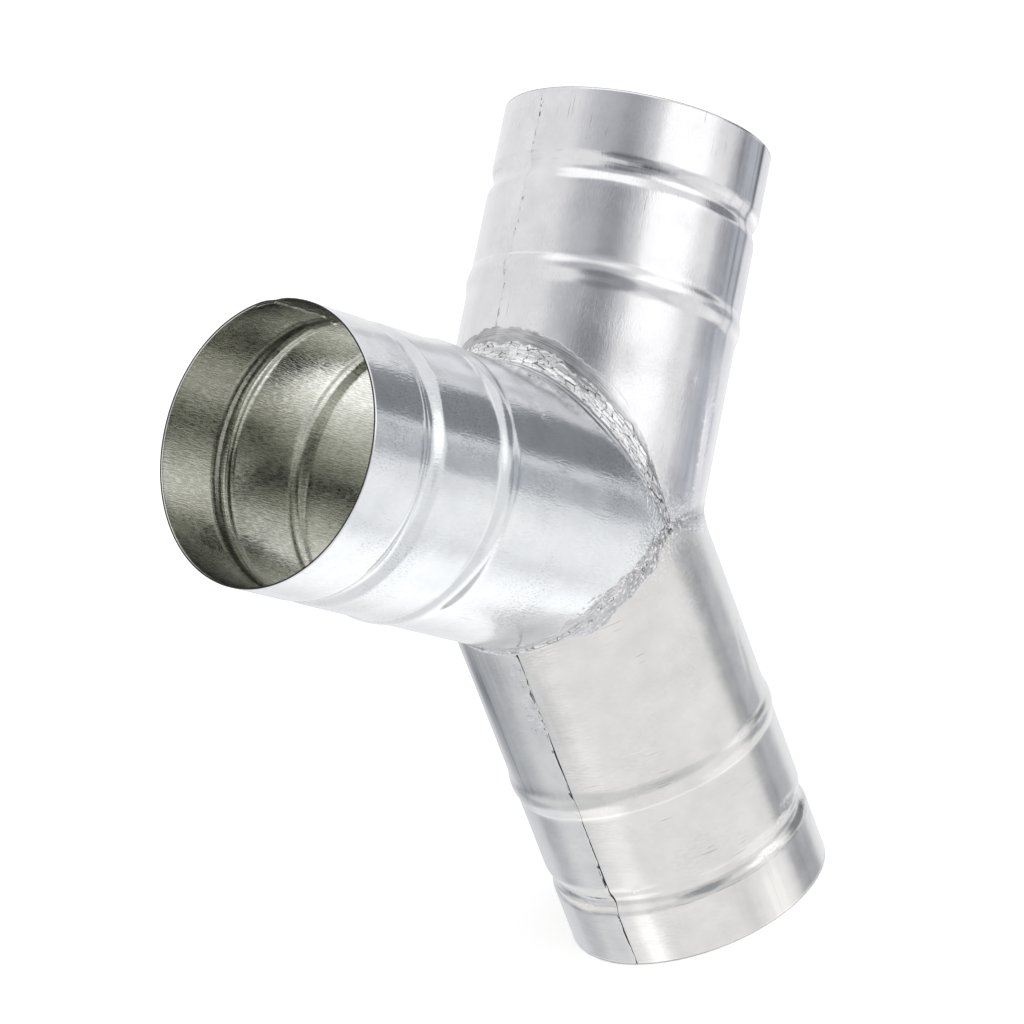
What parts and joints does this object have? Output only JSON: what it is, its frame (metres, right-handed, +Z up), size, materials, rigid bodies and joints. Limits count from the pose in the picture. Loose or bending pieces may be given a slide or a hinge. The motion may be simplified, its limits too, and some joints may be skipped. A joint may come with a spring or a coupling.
{
  "type": "duct wye",
  "caption": "Round galvanised sheet-metal duct wye: a trunk splits into two branches of the same bore, with rolled beads, lap seams and soldered mitres.",
  "frame": {"origin": "centre of the trunk's open end, in the plane of its rim", "axes": "+Z up the trunk's axis towards the branches, -X towards the left branch, +X towards the right branch, -Y the front; the three axes lie in the XZ plane"},
  "size_m": [0.2936, 0.1024, 0.2966],
  "materials": {
    "trunk_sheet": "galvanised, satin, with fine lines round the tube",
    "left_sheet": "galvanised, bright, with fine rolling lines along the tube",
    "right_sheet": "galvanised, bright, with fine rolling lines along the tube",
    "solder": "rough, lumpy and crackled, bright"
  },
  "bodies": {
    "root": {"trunk_tube": "trunk_sheet", "left_branch_tube": "left_sheet", "right_branch_tube": "right_sheet", "crotch_solder": "solder", "left_solder": "solder", "right_solder": "solder"}
  },
  "joints": []
}
